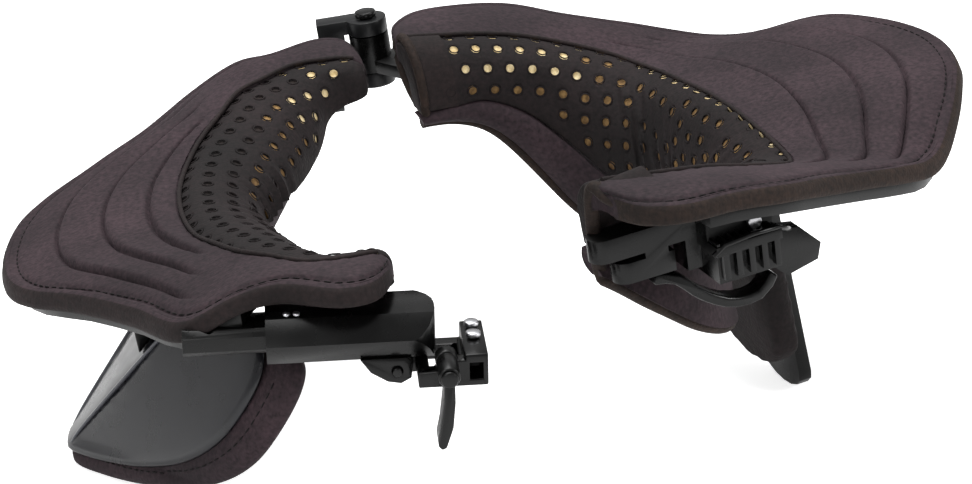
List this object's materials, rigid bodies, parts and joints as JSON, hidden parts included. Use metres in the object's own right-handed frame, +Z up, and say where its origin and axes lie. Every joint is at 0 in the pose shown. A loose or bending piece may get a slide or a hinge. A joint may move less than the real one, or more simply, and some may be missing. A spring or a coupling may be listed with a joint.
{
  "type": "motocross neck brace",
  "caption": "Padded neck brace for motocross, opened at its side hinge, with a latch arm, a chest plate and a back strut.",
  "frame": {"origin": "on the surface that the brace stands on, under the middle of its box", "axes": "+Z up, +X to the wearer's back, +Y to the hinge side"},
  "size_m": [0.3324, 0.2574, 0.1296],
  "materials": {
    "pad_fabric": "brushed knit over moulded foam, dark purplish brown",
    "mesh_fabric": "perforated lining over foam, near black",
    "gloss_plastic": "moulded glass-filled nylon, black with a soft gloss",
    "satin_plastic": "satin moulded plate, dark grey",
    "grey_plastic": "moulded hinge sleeve, mid grey",
    "bright_steel": "bright screw and pin heads"
  },
  "bodies": {
    "front_half": {"front_table_pad": "pad_fabric", "front_collar_pad": "mesh_fabric", "front_frame": "gloss_plastic", "clasp_sleeve": "gloss_plastic", "clasp_pivot_pin": "bright_steel", "sleeve_pin_1": "bright_steel", "sleeve_pin_2": "bright_steel", "hinge_sleeve": "grey_plastic", "hinge_pin": "bright_steel", "chest_plate": "satin_plastic", "chest_pad": "pad_fabric", "chest_mount": "gloss_plastic"},
    "rear_half": {"rear_table_pad": "pad_fabric", "rear_collar_pad": "mesh_fabric", "rear_shoulder_pad": "mesh_fabric", "rear_frame": "gloss_plastic", "latch_receiver": "gloss_plastic", "receiver_screw": "bright_steel", "latch_guard": "gloss_plastic", "rear_strut": "gloss_plastic", "rear_strut_pad": "mesh_fabric"},
    "clasp": {"clasp_frame": "gloss_plastic", "clasp_screw_1": "bright_steel", "clasp_screw_2": "bright_steel"},
    "lever": {"clasp_lever": "gloss_plastic"}
  },
  "joints": [
    {"name": "main_hinge", "type": "hinge", "parent": "front_half", "child": "rear_half", "pos_m": [-0.03556, 0.12125, 0.10193], "axis": [-0.1374, 0, 0.9905], "range_deg": [-16.5, 35]},
    {"name": "clasp_frame_pivot", "type": "hinge", "parent": "front_half", "child": "clasp", "pos_m": [-0.03934, -0.10195, 0.0816], "axis": [0, 1, 0], "range_deg": [0, 60]},
    {"name": "clasp_lever_pivot", "type": "hinge", "parent": "clasp", "child": "lever", "pos_m": [-0.02493, -0.12175, 0.08783], "axis": [0, 1, 0], "range_deg": [-20, 150]}
  ]
}
